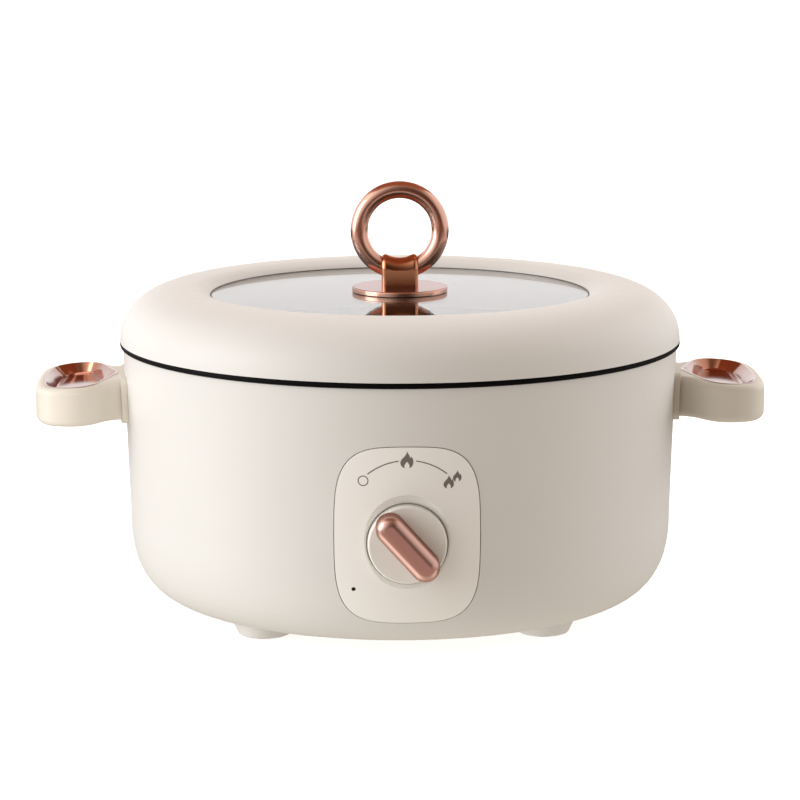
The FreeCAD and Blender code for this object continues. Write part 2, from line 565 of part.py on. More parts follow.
for sx, side in ((-1, "left"), (1, "right")):
    b, t = handle(sx)
    out("handle_%s" % side, b)
    out("handle_trim_%s" % side, t)
hs = []
for sx in (-1, 1):
    for y, z in HANDLE_SCREWS:
        x0 = math.sqrt((shell_r(z) - T_SHELL) ** 2 - (abs(y) + 3.6) ** 2) - 0.3
        hs.append(cyl(1.58, 14.5, (sx * x0, y, z), (sx, 0, 0)).fuse(cyl(3.4, 2.0, (sx * (x0 - 2.0), y, z), (sx, 0, 0))).removeSplitter())
out("handle_screws", hs)

# ------------------------------------------------------------------ mains inlet
bez = rbox(-23.5, 23.5, INLET_Z - 15.5, INLET_Z + 15.5, 5.0, 120, INLET_FACE - 2.0)
bez = soft(bez, 1.6, lambda e: abs(e.BoundBox.YMax - (INLET_FACE - 2.0)) < 1e-6 and e.BoundBox.YLength < 1e-6)
bez = bez.cut(FULL)
bez = bez.cut(rbox(-14.6, 14.6, INLET_Z - 10.6, INLET_Z + 10.6, 2.0, 110, 170))
for sx in (-1, 1):
    bez = bez.cut(cyl(1.7, 40, (sx * 19.5, 120, INLET_Z), (0, 1, 0)))
out("inlet_bezel", bez)
inl = rbox(-22.6, 22.6, INLET_Z - 14.0, INLET_Z + 14.0, 4.5, INLET_FACE - 2.0, INLET_FACE)
inl = soft(inl, 0.7, lambda e: abs(e.BoundBox.YMax - INLET_FACE) < 1e-6 and e.BoundBox.YLength < 1e-6)
inl = inl.fuse(rbox(-14.4, 14.4, INLET_Z - 10.4, INLET_Z + 10.4, 1.8, 124.0, INLET_FACE - 2.0))
w = wire([(-12.3, INLET_Z - 8.5, 1.0), (12.3, INLET_Z - 8.5, 1.0), (12.3, INLET_Z + 3.6, 1.0), (7.4, INLET_Z + 8.5, 1.0), (-7.4, INLET_Z + 8.5, 1.0), (-12.3, INLET_Z + 3.6, 1.0)],
         lambda a, b: V(a, 129.0, b))
inl = inl.cut(Part.Face(w).extrude(V(0, 30, 0)))
PINS = [(-7.0, INLET_Z - 2.4), (7.0, INLET_Z - 2.4), (0.0, INLET_Z + 2.6)]
for x, z in PINS:
    inl = inl.cut(box(x - 1.0, x + 1.0, 120, 131, z - 2.0, z + 2.0))
for sx in (-1, 1):
    inl = inl.cut(cyl(1.7, 40, (sx * 19.5, 120, INLET_Z), (0, 1, 0)))
    inl = inl.cut(Part.makeCone(1.7, 3.4, 1.7, V(sx * 19.5, INLET_FACE - 1.7, INLET_Z), V(0, 1, 0)))
out("power_inlet", inl.removeSplitter())
pins = []
for x, z in PINS:
    p = box(x - 1.0, x + 1.0, 120, 146.2, z - 2.0, z + 2.0)
    p = soft(p, 0.6, lambda e: abs(e.BoundBox.YMax - 146.2) < 1e-6 and e.BoundBox.YLength < 1e-6)
    p = p.fuse(box(x - 0.4, x + 0.4, 111, 120, z - 3.1, z + 3.1))
    pins.append(p.removeSplitter())
out("inlet_pins", pins)
isc = []
for sx in (-1, 1):
    s = Part.makeCone(1.6, 3.3, 1.7, V(sx * 19.5, INLET_FACE - 1.7, INLET_Z), V(0, 1, 0)).fuse(cyl(1.6, 16.0, (sx * 19.5, INLET_FACE - 17.0, INLET_Z), (0, 1, 0)))
    s = s.cut(box(sx * 19.5 - 2.0, sx * 19.5 + 2.0, INLET_FACE - 0.7, INLET_FACE + 1, INLET_Z - 0.35, INLET_Z + 0.35))
    s = s.cut(box(sx * 19.5 - 0.35, sx * 19.5 + 0.35, INLET_FACE - 0.7, INLET_FACE + 1, INLET_Z - 2.0, INLET_Z + 2.0))
    isc.append(s.removeSplitter())
out("inlet_screws", isc)
nuts = []
for sx in (-1, 1):
    x = sx * 19.5
    y0 = math.sqrt((R_SHELL_MID - T_SHELL - 0.35) ** 2 - (19.5 + 3.4) ** 2) - 3.3
    nt = Part.Face(Part.Wire(Part.makePolygon([V(x + 3.2 * math.cos(PI / 3 * k), y0, INLET_Z + 3.2 * math.sin(PI / 3 * k)) for k in range(7)]).Edges)).extrude(V(0, 2.4, 0))
    nuts.append(nt.cut(cyl(1.62, 6, (x, y0 - 1, INLET_Z), (0, 1, 0))))
out("inlet_nuts", nuts)

# ------------------------------------------------------------------ wiring
WIRE = 2.4
wires = {
    "live": [(-7, 110.9, 39.6), (-7, 106, 39.6), (-13, 96, 27), (-24, 84, 20), (-50, 56, 18), (-60, 20, 18), (-56, -26, 18), (-40, -66, 20), (-20, -96, 26), (-9, -118, 30), (-8, -125, 36), (-8, -125.0, 40.6)],
    "neutral": [(7, 110.9, 39.6), (7, 106, 39.6), (14, 96, 27), (26, 82, 21), (52, 52, 19), (60, 14, 19), (54, -24, 20), (38, -52, 24), (20, -64, 32), (12, -64.6, 44), (12, -64.6, 60.7)],
    "earth": [(0, 110.9, 44.6), (0, 103, 44.6), (4, 90, 31), (12, 74, 26), (15, 54, 25), (13, 38, 29), (4, 27, 36), (0, 24.5, 45), (0, 24.5, 64.4)],
    "switched": [(8.0, -125.0, 40.6), (8, -125, 36), (5, -112, 29), (-3, -92, 26), (-10, -74, 29), (-12, -65.5, 38), (-12, -64.6, 46), (-12, -64.6, 60.7)],
}
out("wiring", [tube(p, WIRE) for p in wires.values()])

# ------------------------------------------------------------------ lid cover
LID = [(144.0, 140.25), (143.75, 143.8), (142.9, 147.8), (140.8, 152.7), (137.6, 157.0), (133.4, 160.7), (128.8, 163.4), (123.6, 165.4), (117.9, 166.7),
       (110.1, 167.25), (105.6, 167.05), (103.2, 166.6), (100.9, 165.6)]
lt0, lt1 = (-0.03, 1.0), (-0.925, -0.38)
k = 22.0
outer_e = spline(LID, (lt0[0] * k, lt0[1] * k), (lt1[0] * 6, lt1[1] * 6))
inn = offset_pts(LID[:10], T_LID, lt0, (-0.9998, 0.02))
inner_e = spline([(inn[0][0], 140.25)] + inn[1:], (0, k), (-0.9998 * k, 0.02 * k))
P = lambda a: V(a[0], 0, a[1])
i_end = inn[-1]
tail = [
    Part.Arc(P(LID[-1]), P((99.06, 164.54)), P((R_WINDOW, 163.0))).toShape(),
    Part.makeLine(P((R_WINDOW, 163.0)), P((R_WINDOW, 162.85))),
    Part.makeLine(P((R_WINDOW, 162.85)), P((104.6, 162.85))),
    Part.makeLine(P((104.6, 162.85)), P(i_end)),
]
edges = [outer_e] + tail + [inner_e, Part.makeLine(P((inn[0][0], 140.25)), P(LID[0]))]
lidc = rev_edges(edges)
LSCR = [(114.0 * math.cos(math.radians(a)), 114.0 * math.sin(math.radians(a))) for a in (30, 90, 150, 210, 270, 330)]
for x, y in LSCR:
    lidc = lidc.fuse(cyl(3.6, 5.8, (x, y, 159.1), (0, 0, 1)))
    lidc = lidc.cut(cyl(1.3, 4.6, (x, y, 158.8), (0, 0, 1)))
out("lid_cover", lidc.removeSplitter())

ring = rev([
    (102.6, 162.8, 0), (104.3, 162.8, 0), (104.3, 159.0, 0.4), (124.0, 159.0, 4.0), (132.2, 153.0, 6.0), (137.6, 145.4, 3.0), (139.6, 142.8, 0.8), (141.2, 142.8, 0.3), (141.2, 140.15, 0.3),
    (134.4, 140.15, 0.5), (133.6, 133.4, 0.8), (131.4, 133.4, 0.8), (131.4, 145.6, 3.0), (129.4, 150.8, 6.0), (123.2, 156.2, 4.0), (96.8, 156.2, 0.8), (96.8, 158.1, 0.4), (102.6, 158.1, 0)])
for x, y in LSCR:
    ring = ring.cut(cyl(1.6, 6, (x, y, 154), (0, 0, 1)))
out("lid_inner_ring", ring)
out("lid_screws", [cyl(1.28, 7.0, (x, y, 156.2), (0, 0, 1)).fuse(cyl(2.8, 1.7, (x, y, 154.5), (0, 0, 1))).removeSplitter() for x, y in LSCR])

zg0 = Z_GLASS - T_GLASS


def sag(r):
    return DOME - math.sqrt(DOME * DOME - r * r)


ge = sag(R_GLASS)
glass = rev_edges([
    Part.Arc(P((4.2, Z_GLASS - sag(4.2))), P((60.0, Z_GLASS - sag(60.0))), P((R_GLASS, Z_GLASS - ge))).toShape(),
    Part.makeLine(P((R_GLASS, Z_GLASS - ge)), P((R_GLASS, zg0 - ge))),
    Part.Arc(P((R_GLASS, zg0 - ge)), P((60.0, zg0 - sag(60.0))), P((4.2, zg0 - sag(4.2)))).toShape(),
    Part.makeLine(P((4.2, zg0 - sag(4.2))), P((4.2, Z_GLASS - sag(4.2)))),
])
glass = soft(glass, 0.8, lambda e: e.BoundBox.XLength > 2 * R_GLASS - 1 and e.BoundBox.ZLength < 0.01)
out("lid_glass", glass)
seal = rev([(96.8, 162.84, 0), (102.5, 162.84, 0), (102.5, 158.1, 0), (97.2, 158.1, 0), (97.2, 160.0, 0), (96.8, 162.0, 0)])
grown = rev_edges([
    Part.Arc(P((0.0, Z_GLASS + 0.02)), P((60.0, Z_GLASS + 0.02 - sag(60.0))), P((R_GLASS + 0.06, Z_GLASS + 0.02 - ge))).toShape(),
    Part.makeLine(P((R_GLASS + 0.06, Z_GLASS + 0.02 - ge)), P((R_GLASS + 0.06, zg0 - 0.02 - ge))),
    Part.Arc(P((R_GLASS + 0.06, zg0 - 0.02 - ge)), P((60.0, zg0 - 0.02 - sag(60.0))), P((0.0, zg0 - 0.02))).toShape(),
    Part.makeLine(P((0.0, zg0 - 0.02)), P((0.0, Z_GLASS + 0.02))),
])
out("glass_seal", seal.cut(grown))

# ------------------------------------------------------------------ ring pull on the lid
disc = rev([(3.2, Z_GLASS, 0), (24.5, Z_GLASS, 0.3), (24.6, Z_GLASS + 2.6, 0.7), (3.2, Z_GLASS + 2.6, 0)])
out("pull_base", disc)
zp = Z_GLASS + 2.6
torus = Part.makeTorus(R_RING, R_TUBE, V(0, 0, Z_RING), V(0, 1, 0))
rs = R_TUBE + T_STRAP
sleeve = Part.makeTorus(R_RING, rs, V(0, 0, Z_RING), V(0, 1, 0))
xw = 9.4
blk = box(-xw, xw, -rs, rs, zp, Z_RING - R_RING + 0.6)
sl = sleeve.common(box(-xw, xw, -12, 12, 160, 190))
post = blk.fuse(sl).removeSplitter()
post = soft(post, 2.2, lambda e: abs(abs(e.BoundBox.XMin) - xw) < 1e-3 and e.BoundBox.XLength < 1e-3 and e.BoundBox.ZMax > zp + 0.5)
hole = Part.makeTorus(R_RING, R_TUBE + 0.03, V(0, 0, Z_RING), V(0, 1, 0))
post = post.cut(hole)
post = post.cut(cyl(2.52, 4.0, (0, 0, zp - 1), (0, 0, 1)))
post = Part.makeCompound([s for s in post.Solids if s.Volume > 50])
out("pull_post", post)
out("pull_ring", torus)
scr = cyl(2.48, 11.9, (0, 0, 157.5), (0, 0, 1)).fuse(rev([(0, 154.2, 0), (4.4, 154.2, 1.6), (4.8, 157.5, 0), (0, 157.5, 0)]))
scr = scr.cut(box(-3.2, 3.2, -0.6, 0.6, 153, 155.4)).cut(box(-0.6, 0.6, -3.2, 3.2, 153, 155.4))
out("pull_screw", scr.removeSplitter())
out("pull_washer", rev([(2.7, 157.5, 0), (9.6, 157.5, 0.4), (9.6, 158.6, 0), (2.7, 158.6, 0)]))
out("pull_seal", rev([(2.7, 158.6, 0), (9.0, 158.6, 0), (9.0, zg0 - 0.02, 0), (2.7, zg0 - 0.02, 0)]))
print(len(DONE), "nodes")
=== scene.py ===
import math

import bmesh
import bpy
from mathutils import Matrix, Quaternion, Vector


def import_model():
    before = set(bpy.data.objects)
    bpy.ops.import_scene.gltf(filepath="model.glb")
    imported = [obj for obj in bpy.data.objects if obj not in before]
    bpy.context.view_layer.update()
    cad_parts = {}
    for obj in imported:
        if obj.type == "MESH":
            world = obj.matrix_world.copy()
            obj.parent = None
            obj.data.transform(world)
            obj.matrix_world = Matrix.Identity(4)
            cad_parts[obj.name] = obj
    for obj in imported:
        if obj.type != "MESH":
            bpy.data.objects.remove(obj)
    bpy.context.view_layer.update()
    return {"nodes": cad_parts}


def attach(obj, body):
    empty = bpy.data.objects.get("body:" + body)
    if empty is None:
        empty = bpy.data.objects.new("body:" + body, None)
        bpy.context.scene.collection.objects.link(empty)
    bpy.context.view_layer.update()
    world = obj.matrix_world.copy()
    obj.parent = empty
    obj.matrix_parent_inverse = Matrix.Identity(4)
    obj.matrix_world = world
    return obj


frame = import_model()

NODES = frame["nodes"]


# =============================================================== small node helpers
class Mat:
    """A material whose nodes are added one call at a time."""

    def __init__(self, name):
        self.m = bpy.data.materials.new(name)
        self.m.use_nodes = True
        self.t = self.m.node_tree
        self.t.nodes.clear()
        self.out = self.t.nodes.new("ShaderNodeOutputMaterial")
        self.b = self.t.nodes.new("ShaderNodeBsdfPrincipled")
        self.link(self.b.outputs[0], self.out.inputs["Surface"])
        self._co = None

    def link(self, a, b):
        self.t.links.new(a, b)

    def put(self, socket, value):
        if hasattr(value, "is_output"):
            self.link(value, socket)
        else:
            socket.default_value = value

    def co(self):
        """Row-frame position, in metres (the nodes sit at the origin, so object space is the row frame)."""
        if self._co is None:
            self._co = self.t.nodes.new("ShaderNodeTexCoord").outputs["Object"]
        return self._co

    def mapped(self, scale=(1, 1, 1), rot=(0, 0, 0), loc=(0, 0, 0)):
        n = self.t.nodes.new("ShaderNodeMapping")
        self.link(self.co(), n.inputs["Vector"])
        n.inputs["Scale"].default_value = scale
        n.inputs["Rotation"].default_value = rot
        n.inputs["Location"].default_value = loc
        return n.outputs[0]

    def noise(self, scale, detail=2.0, rough=0.5, vector=None, distortion=0.0):
        n = self.t.nodes.new("ShaderNodeTexNoise")
        n.inputs["Scale"].default_value = scale
        n.inputs["Detail"].default_value = detail
        n.inputs["Roughness"].default_value = rough
        n.inputs["Distortion"].default_value = distortion
        self.link(vector or self.co(), n.inputs["Vector"])
        return n.outputs["Fac"] if "Fac" in n.outputs else n.outputs[0]

    def voronoi(self, scale, feature="F1", vector=None, out="Distance"):
        n = self.t.nodes.new("ShaderNodeTexVoronoi")
        n.feature = feature
        n.inputs["Scale"].default_value = scale
        self.link(vector or self.co(), n.inputs["Vector"])
        return n.outputs[out]

    def ramp(self, fac, stops, interp="LINEAR"):
        n = self.t.nodes.new("ShaderNodeValToRGB")
        n.color_ramp.interpolation = interp
        els = n.color_ramp.elements
        while len(els) < len(stops):
            els.new(0.5)
        for e, (p, c) in zip(els, stops):
            e.position = p
            e.color = tuple(c) + (1.0,) if len(c) == 3 else tuple(c)
        self.link(fac, n.inputs["Fac"])
        return n.outputs["Color"]

    def rng(self, fac, a, b, lo=0.0, hi=1.0):
        n = self.t.nodes.new("ShaderNodeMapRange")
        n.inputs["From Min"].default_value = lo
        n.inputs["From Max"].default_value = hi
        n.inputs["To Min"].default_value = a
        n.inputs["To Max"].default_value = b
        self.link(fac, n.inputs["Value"])
        return n.outputs[0]

    def math(self, op, a, b=0.0, clamp=False):
        n = self.t.nodes.new("ShaderNodeMath")
        n.operation = op
        n.use_clamp = clamp
        self.put(n.inputs[0], a)
        self.put(n.inputs[1], b)
        return n.outputs[0]

    def vlen_xy(self):
        """Distance from the pot's axis."""
        s = self.t.nodes.new("ShaderNodeSeparateXYZ")
        self.link(self.co(), s.inputs[0])
        x2 = self.math("MULTIPLY", s.outputs[0], s.outputs[0])
        y2 = self.math("MULTIPLY", s.outputs[1], s.outputs[1])
        return self.math("SQRT", self.math("ADD", x2, y2)), s.outputs[2]

    def bump(self, height, strength, dist, normal=None):
        n = self.t.nodes.new("ShaderNodeBump")
        n.inputs["Strength"].default_value = strength
        n.inputs["Distance"].default_value = dist
        self.link(height, n.inputs["Height"])
        if normal is not None:
            self.link(normal, n.inputs["Normal"])
        self.link(n.outputs[0], self.b.inputs["Normal"])
        return n.outputs[0]

    def set(self, **kw):
        for k, v in kw.items():
            self.put(self.b.inputs[k.replace("_", " ")], v)
        return self


def plastic(name, base, rough=0.5, spread=0.02, grain=0.5, sheen=0.0, spec=0.4, spread_rough=0.045):
    """Moulded plastic: even colour with a faint cloud, and the fine spark-eroded grain of a mould."""
    m = Mat(name)
    cloud = m.noise(9.0, 3.0, 0.55)
    lo = [c * (1 - spread) for c in base]
    hi = [min(1.0, c * (1 + spread)) for c in base]
    m.set(Base_Color=m.ramp(cloud, [(0.3, lo), (0.7, hi)]))
    fine = m.noise(1900.0, 2.0, 0.6)
    mid = m.noise(260.0, 2.0, 0.5)
    m.set(Roughness=m.rng(mid, rough - spread_rough, rough + spread_rough, 0.35, 0.65))
    m.b.inputs["Specular IOR Level"].default_value = spec
    if sheen:
        m.b.inputs["Sheen Weight"].default_value = sheen
        m.b.inputs["Sheen Roughness"].default_value = 0.6
    h = m.math("ADD", m.math("MULTIPLY", fine, 0.6), m.math("MULTIPLY", mid, 0.4))
    m.bump(h, 0.10 * grain, 0.00012)
    return m


def metal(name, base, rough=0.25, spread=0.06, grain=None, grain_scale=(1, 1, 1), strength=0.05, edge=None, spread_rough=0.2, coat=0.0):
    """Metal with fine drawn or blasted grain and a faint uneven tone; edge is its colour at a glancing angle, coat a clear lacquer."""
    m = Mat(name)
    cloud = m.noise(42.0, 3.0, 0.55)
    lo = [c * (1 - spread) for c in base]
    hi = [min(1.0, c * (1 + spread)) for c in base]
    m.set(Base_Color=m.ramp(cloud, [(0.3, lo), (0.7, hi)]))
    m.b.inputs["Metallic"].default_value = 1.0
    if grain:
        g = m.noise(grain, 2.0, 0.6, vector=m.mapped(scale=grain_scale))
    else:
        g = m.noise(1500.0, 2.0, 0.6)
    m.set(Roughness=m.rng(g, rough * (1 - spread_rough), rough * (1 + spread_rough), 0.3, 0.7))
    if edge:
        m.b.inputs["Specular Tint"].default_value = tuple(edge) + (1.0,)
    if coat:
        m.b.inputs["Coat Weight"].default_value = coat
        m.b.inputs["Coat Roughness"].default_value = 0.10
    m.bump(g, strength, 0.0001)
    return m


# =============================================================== materials
CREAM = (0.630, 0.618, 0.590)
CREAM_PANEL = (0.790, 0.775, 0.738)

m_shell = plastic("cream_casing", CREAM, 0.46, 0.012, 0.6)
m_lid = plastic("cream_lid", CREAM, 0.46, 0.012, 0.6)
# the handles' cream is warmer and darker than the casing's: painted shade, standing in for the olive-brown shade on the
# handles' front faces
m_handle = plastic("cream_handle_painted_shade", (0.605, 0.562, 0.492), 0.46, 0.012, 0.6)
m_panel = plastic("cream_panel", CREAM_PANEL, 0.36, 0.006, 0.3, spec=0.5, spread_rough=0.015)
m_dial = plastic("cream_dial", (0.725, 0.705, 0.660), 0.40, 0.010, 0.3, spread_rough=0.02)
m_liner = plastic("cream_liner", (0.60, 0.585, 0.55), 0.55, 0.02, 0.8)
m_under = plastic("under_cover", (0.54, 0.52, 0.48), 0.62, 0.04, 1.2)

m_rose = metal("rose_gold_satin", (0.68, 0.39, 0.30), 0.23, 0.03, strength=0.008, spread_rough=0.06, coat=0.7)
m_rose_disc = metal("rose_gold_disc", (0.68, 0.39, 0.30), 0.20, 0.03, strength=0.008, spread_rough=0.06, edge=(0.78, 0.84, 0.92))
# the strap is the ring's rose gold made darker and redder: painted reflection, so that it shows a dark red-brown
# reflection although it mirrors the cream lid
m_rose_post = metal("rose_gold_strap_painted_reflection", (0.58, 0.235, 0.115), 0.17, 0.03, strength=0.008, spread_rough=0.06, coat=0.7)
m_rose_grip = metal("rose_gold_blasted", (0.60, 0.38, 0.33), 0.29, 0.03, strength=0.003, edge=(0.55, 0.40, 0.36), spread_rough=0.04)
# the dish trim is the same rose gold made much darker and redder: painted shade, standing in for the dark reflections
# inside the handle dishes
m_rose_trim = metal("rose_gold_bright_painted_shade", (0.42, 0.17, 0.10), 0.12, 0.03, strength=0.006, spread_rough=0.06, edge=(0.82, 0.86, 0.90), coat=0.8)
m_steel = metal("steel_plain", (0.60, 0.59, 0.57), 0.34, 0.10, grain=420.0, grain_scale=(1, 1, 9), strength=0.10)
m_screw = metal("zinc_screw", (0.66, 0.66, 0.64), 0.30, 0.14)
m_plate = metal("cast_plate", (0.62, 0.62, 0.62), 0.52, 0.12, strength=0.4)
m_shield = metal("bright_sheet", (0.78, 0.78, 0.78), 0.22, 0.08, grain=300.0, grain_scale=(1, 12, 1), strength=0.08)
m_contact = metal("contact_brass", (0.86, 0.70, 0.38), 0.20, 0.06, grain=500.0, grain_scale=(1, 1, 8), strength=0.05)


def make_pan():
    m = Mat("pan_nonstick")
    rad, z = m.vlen_xy()
    # fine speckle of the coating
    sp = m.voronoi(900.0)
    spk = m.ramp(sp, [(0.0, (0.05, 0.05, 0.05)), (0.08, (0.016, 0.016, 0.017)), (0.12, (0.0020, 0.0020, 0.0021)), (1.0, (0.0015, 0.0015, 0.0016))])
    m.set(Base_Color=spk)
    n = m.noise(700.0, 3.0, 0.6)
    turned = m.math("SINE", m.math("MULTIPLY", rad, 5200.0))
    m.set(Roughness=m.rng(n, 0.40, 0.52, 0.3, 0.7))
    h = m.math("ADD", m.math("MULTIPLY", n, 0.7), m.math("MULTIPLY", turned, 0.10))
    m.bump(h, 0.16, 0.00012)
    m.b.inputs["Specular IOR Level"].default_value = 0.06
    return m


def make_rubber(name, base, rough):
    m = Mat(name)
    n = m.noise(600.0, 3.0, 0.6)
    m.set(Base_Color=m.ramp(n, [(0.3, [c * 0.85 for c in base]), (0.7, [c * 1.15 for c in base])]))
    m.set(Roughness=m.rng(n, rough - 0.06, rough + 0.08, 0.3, 0.7))
    m.bump(n, 0.25, 0.0001)
    return m


def make_glass():
    m = Mat("lid_glass_clear")
    smear = m.noise(14.0, 4.0, 0.6, distortion=0.6)
    m.set(Roughness=m.rng(smear, 0.0, 0.012, 0.45, 0.8))
    m.b.inputs["Base Color"].default_value = (0.97, 0.985, 0.99, 1)
    m.b.inputs["Transmission Weight"].default_value = 1.0
    m.b.inputs["IOR"].default_value = 1.55
    return m


def make_ink():
    m = Mat("panel_print")
    n = m.noise(2500.0, 2.0, 0.5)
    m.set(Base_Color=m.ramp(n, [(0.35, (0.135, 0.118, 0.105)), (0.65, (0.165, 0.146, 0.130))]))
    m.set(Roughness=m.rng(n, 0.42, 0.55, 0.3, 0.7))
    return m


def make_lens():
    m = Mat("indicator_smoked")
    n = m.noise(900.0, 2.0, 0.5)
    m.set(Base_Color=m.ramp(n, [(0.4, (0.010, 0.008, 0.008)), (0.6, (0.020, 0.012, 0.010))]))
    m.set(Roughness=m.rng(n, 0.10, 0.2, 0.3, 0.7))
    return m


m_pan = make_pan()
m_seal = make_rubber("black_seal", (0.016, 0.016, 0.016), 0.6)
m_seal_grey = make_rubber("grey_seal", (0.17, 0.155, 0.14), 0.55)
m_pad = make_rubber("grey_pad", (0.075, 0.075, 0.075), 0.75)
m_wire = make_rubber("silicone_wire", (0.42, 0.05, 0.035), 0.5)
m_glass = make_glass()
m_black = plastic("black_moulding", (0.022, 0.022, 0.023), 0.38, 0.10, 0.9)
m_lamp = plastic("lamp_red", (0.5, 0.07, 0.03), 0.2, 0.05, 0.2)
m_ink = make_ink()
m_lens = make_lens()

LOOK = {
    "outer_shell": m_shell, "base_cover": m_under, "foot_front_left": m_shell, "foot_front_right": m_shell, "foot_rear_left": m_shell, "foot_rear_right": m_shell,
    "foot_pads": m_pad, "inner_pot": m_pan, "flange_seal": m_seal, "heating_plate": m_plate, "heating_element": m_steel, "thermostat": m_black,
    "thermostat_bracket": m_steel, "bracket_screws": m_screw, "thermal_fuse": m_steel, "pan_standoffs": m_steel, "base_screws": m_screw, "heat_shield": m_shield,
    "control_panel": m_panel, "indicator_lens": m_lens, "indicator_lamp": m_lamp, "rotary_switch": m_black, "switch_bracket": m_steel, "switch_screws": m_screw,
    "switch_shaft": m_steel, "knob_dial": m_dial, "knob_grip": m_rose_grip, "handle_left": m_handle, "handle_right": m_handle, "handle_trim_left": m_rose_trim,
    "handle_trim_right": m_rose_trim, "handle_screws": m_screw, "inlet_bezel": m_shell, "power_inlet": m_black, "inlet_pins": m_contact, "inlet_screws": m_screw,
    "inlet_nuts": m_screw, "wiring": m_wire, "lid_cover": m_lid, "lid_inner_ring": m_liner, "lid_screws": m_screw, "lid_glass": m_glass, "glass_seal": m_seal_grey,
    "pull_base": m_rose_disc, "pull_post": m_rose_post, "pull_ring": m_rose, "pull_screw": m_screw, "pull_washer": m_steel, "pull_seal": m_seal,
}
for name, obj in NODES.items():
    obj.data.materials.clear()
    obj.data.materials.append(LOOK[name].m)


# =============================================================== casing line, repeated from the CAD model (metres)
R_SHELL_TOP, Z_SHELL_TOP = 0.1424, 0.1372
R_SHELL_MID, Z_MID = 0.1396, 0.0535


def panel_y(x, z):
    """Y of the panel's face, which stands 0.35 mm proud of the casing's straight wall."""
    r = R_SHELL_MID + (z - Z_MID) * (R_SHELL_TOP - R_SHELL_MID) / (Z_SHELL_TOP - Z_MID) + 0.00035
    return -math.sqrt(max(1e-9, r * r - x * x))


def add_mesh(name, verts, faces, mat, body, slot=None, smooth=True):
    me = bpy.data.meshes.new(name)
    me.from_pydata([tuple(v) for v in verts], [], faces)
    me.validate()
    bm = bmesh.new()
    bm.from_mesh(me)
    bmesh.ops.recalc_face_normals(bm, faces=bm.faces)
    bm.to_mesh(me)
    bm.free()
    for p in me.polygons:
        p.use_smooth = smooth
    o = bpy.data.objects.new(name, me)
    bpy.context.collection.objects.link(o)
    me.materials.append(mat.m)
    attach(o, body)
    return o


# =============================================================== printed marks on the panel
def bez(p0, p1, p2, p3, n=10):
    out = []
    for i in range(n):
        t = i / n
        a, b, c, d = (1 - t) ** 3, 3 * t * (1 - t) ** 2, 3 * t * t * (1 - t), t ** 3
        out.append((a * p0[0] + b * p1[0] + c * p2[0] + d * p3[0], a * p0[1] + b * p1[1] + c * p2[1] + d * p3[1]))
    return out


def flame_outline():
    """A generic flame pictogram, one unit high, base at (0, 0)."""
    right = []
    right += bez((0.02, 1.0), (0.06, 0.84), (0.20, 0.76), (0.19, 0.60))
    right += bez((0.19, 0.60), (0.23, 0.62), (0.25, 0.66), (0.25, 0.70))
    right += bez((0.25, 0.70), (0.36, 0.58), (0.40, 0.44), (0.38, 0.30))
    right += bez((0.38, 0.30), (0.37, 0.15), (0.27, 0.03), (0.13, 0.0))
    notch = bez((0.13, 0.0), (0.20, 0.10), (0.17, 0.22), (0.02, 0.38)) + bez((0.02, 0.38), (-0.14, 0.22), (-0.18, 0.10), (-0.11, 0.0))
    left = bez((-0.11, 0.0), (-0.27, 0.04), (-0.37, 0.16), (-0.37, 0.31)) + bez((-0.37, 0.31), (-0.37, 0.46), (-0.26, 0.56), (-0.14, 0.68)) + bez((-0.14, 0.68), (-0.05, 0.78), (0.00, 0.88), (0.02, 1.0))
    return right + notch + left


def print_shape(name, loops, holes=()):
    """Ink on the panel: flat outlines in (x, z), triangulated, laid on the panel's curved face and given 0.04 mm of thickness."""
    bm = bmesh.new()
    edges = []
    for loop in list(loops) + list(holes):
        vs = [bm.verts.new((x, 0.0, z)) for x, z in loop]
        for i in range(len(vs)):
            edges.append(bm.edges.new((vs[i], vs[(i + 1) % len(vs)])))
    bmesh.ops.triangle_fill(bm, use_beauty=True, use_dissolve=False, edges=edges)
    # finer faces, so that the print follows the curve
    for _ in range(2):
        long_edges = [e for e in bm.edges if e.calc_length() > 0.0016]
        if not long_edges:
            break
        bmesh.ops.subdivide_edges(bm, edges=long_edges, cuts=1, use_grid_fill=False)
        bmesh.ops.triangulate(bm, faces=bm.faces[:])
    geom = bmesh.ops.extrude_face_region(bm, geom=bm.faces[:])
    top = {v for v in geom["geom"] if isinstance(v, bmesh.types.BMVert)}
    for v in bm.verts:
        y = panel_y(v.co.x, v.co.z)
        v.co.y = y - 0.00003 if v in top else y + 0.00006
    bmesh.ops.recalc_face_normals(bm, faces=bm.faces)
    me = bpy.data.meshes.new(name)
    bm.to_mesh(me)
    bm.free()
    o = bpy.data.objects.new(name, me)
    bpy.context.collection.objects.link(o)
    me.materials.append(m_ink.m)
    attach(o, "base")
    return o


def place(loop, x, z, h, lean=0.0):
    c, s = math.cos(lean), math.sin(lean)
    return [(x + (u * c - v * s) * h, z + (u * s + v * c) * h) for u, v in loop]


FL = flame_outline()
print_shape("mark_flame_low", [place(FL, -0.0003, 0.0988, 0.0082)])
print_shape("mark_flame_high_a", [place(FL, 0.0198, 0.0884, 0.0066)])
print_shape("mark_flame_high_b", [place(FL, 0.0239, 0.0917, 0.0055)])


def circle(cx, cz, r, n=48):
    return [(cx + r * math.cos(2 * math.pi * i / n), cz + r * math.sin(2 * math.pi * i / n)) for i in range(n)]


print_shape("mark_off", [circle(-0.0212, 0.0924, 0.0026)], [circle(-0.0212, 0.0924, 0.0021)[::-1]])


def arc_band(cx, cz, r, a0, a1, w, n=28):
    """A thin curved line, its ends cut straight across."""
    loop = []
    for i in range(n + 1):
        a = a0 + (a1 - a0) * i / n
        loop.append((cx + (r + w / 2) * math.sin(a), cz + (r + w / 2) * math.cos(a)))
    for i in range(n + 1):
        a = a1 + (a0 - a1) * i / n
        loop.append((cx + (r - w / 2) * math.sin(a), cz + (r - w / 2) * math.cos(a)))
    return loop


